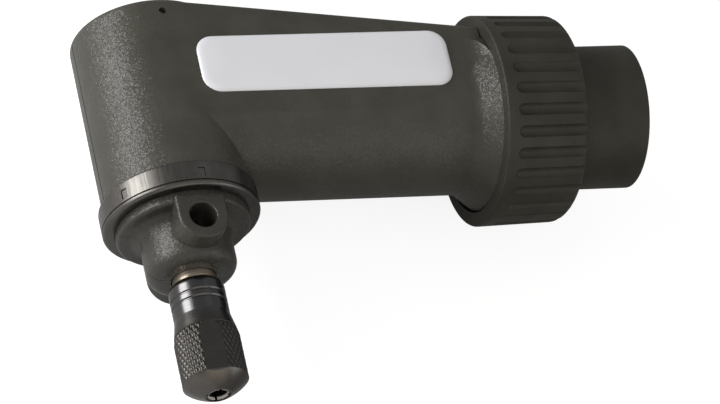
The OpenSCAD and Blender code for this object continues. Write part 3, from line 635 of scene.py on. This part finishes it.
def make_thread():
    """The thread's ridge inside the coupling's bore."""
    turns = (THREAD_LEN - 2 * THREAD_MARGIN) / THREAD_PITCH
    steps = int(THREAD_STEPS * turns)
    crest = THREAD_HALF * THREAD_CREST
    section = ((-THREAD_HALF, 0.0), (-crest, 1.0), (crest, 1.0), (THREAD_HALF, 0.0))
    verts = []
    for i in range(steps + 1):
        angle = 2 * math.pi * i / THREAD_STEPS
        fade = min(1.0, min(i, steps - i) / (THREAD_STEPS * THREAD_FADE))
        at = -THREAD_MARGIN - THREAD_PITCH * i / THREAD_STEPS
        for offset, rise in section:
            radius = THREAD_R + THREAD_SINK - THREAD_HEIGHT * rise * fade
            verts.append((at + offset, radius * math.cos(angle), radius * math.sin(angle)))
    size = len(section)
    faces = ring_faces(steps + 1, size)
    faces += [tuple(reversed(range(size))), tuple(range(steps * size, steps * size + size))]
    soften(make_piece("coupling_ridge", verts, faces, COUPLING_NYLON, "coupling_nut"))


def flare_profile(end):
    """Points (x, rise above the barrel) of the flare: a fillet, then a cone out to the flange."""
    rise = FLANGE_R - BARREL_R
    turns = [FLARE_TILT * i / FLARE_FILLET_STEPS for i in range(FLARE_FILLET_STEPS + 1)]
    fillet = [(FLARE_FILLET * math.sin(a), FLARE_FILLET * (1 - math.cos(a))) for a in turns]
    cone_start = end - (rise - fillet[-1][1]) / math.tan(FLARE_TILT)
    start = cone_start - fillet[-1][0]
    points = [(start + x, up) for x, up in fillet]
    for x in split_span(cone_start, end, FLARE_CONE_STEP)[1:]:
        points.append((x, rise - (end - x) * math.tan(FLARE_TILT)))
    return points + [(end, rise)]


def flare_ring(rise):
    """Points (y, z) round the flare, from flank to flank under the barrel and back inside the wall."""
    radius = BARREL_R + rise
    over = math.acos(FLANK / radius)
    turns = [-over + (math.pi + 2 * over) * i / FLARE_STEPS for i in range(FLARE_STEPS + 1)]
    outline = [(-radius * math.sin(a), radius * math.cos(a)) for a in turns]
    inner = (BARREL_R - FLARE_ROOT) / radius
    root = []
    for y, z in outline:
        beside_flank = (y, math.copysign(FLANK - FLARE_ROOT, z))
        root.append(beside_flank if y > 0 else (y * inner, z * inner))
    return outline + root[::-1]


def make_flare():
    """The long round flare of the barrel in front of the coupling nut, over the housing's short one."""
    profile = flare_profile(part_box("coupling_nut")[0].x + RIM_REACH)
    verts = []
    for x, rise in profile:
        verts += [(x, y, z) for y, z in flare_ring(rise - FLARE_SETTLE)]
    around = len(verts) // len(profile)
    faces = ring_faces(len(profile), around)
    last = len(verts) - around
    for j in range(around // 2 - 1):
        across = (j, around - 1 - j, around - 2 - j, j + 1)
        faces.append(across)
        faces.append(tuple(last + k for k in reversed(across)))
    soften(make_piece("barrel_flare", verts, faces, MATERIALS["black_nylon"], "housing"))


make_collet_nut()
make_plate()
make_thread()
make_flare()


# Camera, lights and stage

def aim(obj, target, roll=0.0):
    """Turns a camera or lamp so that its -Z axis meets a target, with a roll in degrees."""
    back = (obj.location - target).normalized()
    right = Vector((0.0, 0.0, 1.0)).cross(back).normalized()
    up = back.cross(right)
    turn = math.radians(roll)
    right, up = right * math.cos(turn) - up * math.sin(turn), up * math.cos(turn) + right * math.sin(turn)
    obj.matrix_world = Matrix.Translation(obj.location) @ Matrix((right, up, back)).transposed().to_4x4()


def direction(azimuth, elevation):
    """Unit vector towards an azimuth and elevation, in degrees, with azimuth 0 towards -Y and 90 towards +X.
    """
    a, e = math.radians(azimuth), math.radians(elevation)
    return Vector((math.sin(a) * math.cos(e), -math.cos(a) * math.cos(e), math.sin(e)))


def make_camera():
    """The photograph's camera."""
    data = bpy.data.cameras.new("camera")
    data.sensor_width = SENSOR_WIDTH
    data.lens = FOCAL_PIXELS / IMAGE_WIDTH * SENSOR_WIDTH
    camera = link(bpy.data.objects.new("camera", data))
    camera.location = CAMERA_TARGET + direction(CAMERA_AZIMUTH, CAMERA_ELEVATION) * CAMERA_DISTANCE
    aim(camera, CAMERA_TARGET, CAMERA_ROLL)
    bpy.context.scene.camera = camera


def make_softbox(name, toward, distance, size, watts, colour):
    """A rectangular area lamp that faces the object from a direction."""
    data = bpy.data.lights.new(name, "AREA")
    data.shape = "RECTANGLE"
    data.size, data.size_y = size
    data.energy = watts
    data.color = colour
    lamp = link(bpy.data.objects.new(name, data))
    lamp.location = CAMERA_TARGET + Vector(toward).normalized() * distance
    aim(lamp, CAMERA_TARGET)


def ray_glow(tree, glows, base):
    """A strength: the base, with a glow added for each kind of ray."""
    path = tree.nodes.new("ShaderNodeLightPath")
    total = None
    for ray, glow in glows.items():
        both = tree.nodes.new("ShaderNodeMath")
        if total is None:
            both.inputs[0].default_value = base
        else:
            tree.links.new(total, both.inputs[0])
        tree.links.new(remap(tree, path.outputs[ray], (0.0, 1.0), (0.0, glow)), both.inputs[1])
        total = both.outputs[0]
    return total


def make_world():
    """Even surroundings that look white to the camera."""
    world = bpy.data.worlds.new("studio")
    world.use_nodes = True
    tree = world.node_tree
    back = tree.nodes["Background"]
    back.inputs["Color"].default_value = (*WHITE, 1.0)
    tree.links.new(ray_glow(tree, WORLD_GLOW, WORLD_LIGHT), back.inputs["Strength"])
    bpy.context.scene.world = world


def make_floor():
    """A wide floor that touches the coupling nut and the head band, paler on the head's side as a painted
    pool of light.
    """
    nut_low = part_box("coupling_nut")[0]
    band_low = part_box("head_band")[0]
    tilt = math.atan2(band_low.z - nut_low.z, nut_low.x - HEAD_X)
    bpy.ops.mesh.primitive_plane_add(size=FLOOR_SIZE)
    floor = bpy.context.object
    floor.name = "floor"
    floor.location = (nut_low.x, 0.0, nut_low.z)
    floor.rotation_euler = (0.0, tilt, 0.0)
    mat, tree, shader = new_material("floor")
    head_at = HEAD_X - nut_low.x
    # Paler floor beside the head: a painted pool of light
    painted_light_grade = remap(tree, object_axes(tree)["X"], [head_at + edge for edge in FLOOR_PAINTED_LIGHT_GRADE], FLOOR_PAINTED_LIGHT_TONES)
    tree.links.new(painted_light_grade, shader.inputs["Base Color"])
    shader.inputs["Roughness"].default_value = 0.9
    shader.inputs["Specular IOR Level"].default_value = 0.0
    shader.inputs["Emission Color"].default_value = (*WHITE, 1.0)
    tree.links.new(ray_glow(tree, FLOOR_GLOW, 0.0), shader.inputs["Emission Strength"])
    floor.data.materials.append(mat)


make_camera()
make_world()
for lamp_settings in LAMPS:
    make_softbox(*lamp_settings)
make_floor()
bpy.context.scene.view_settings.view_transform = "Standard"
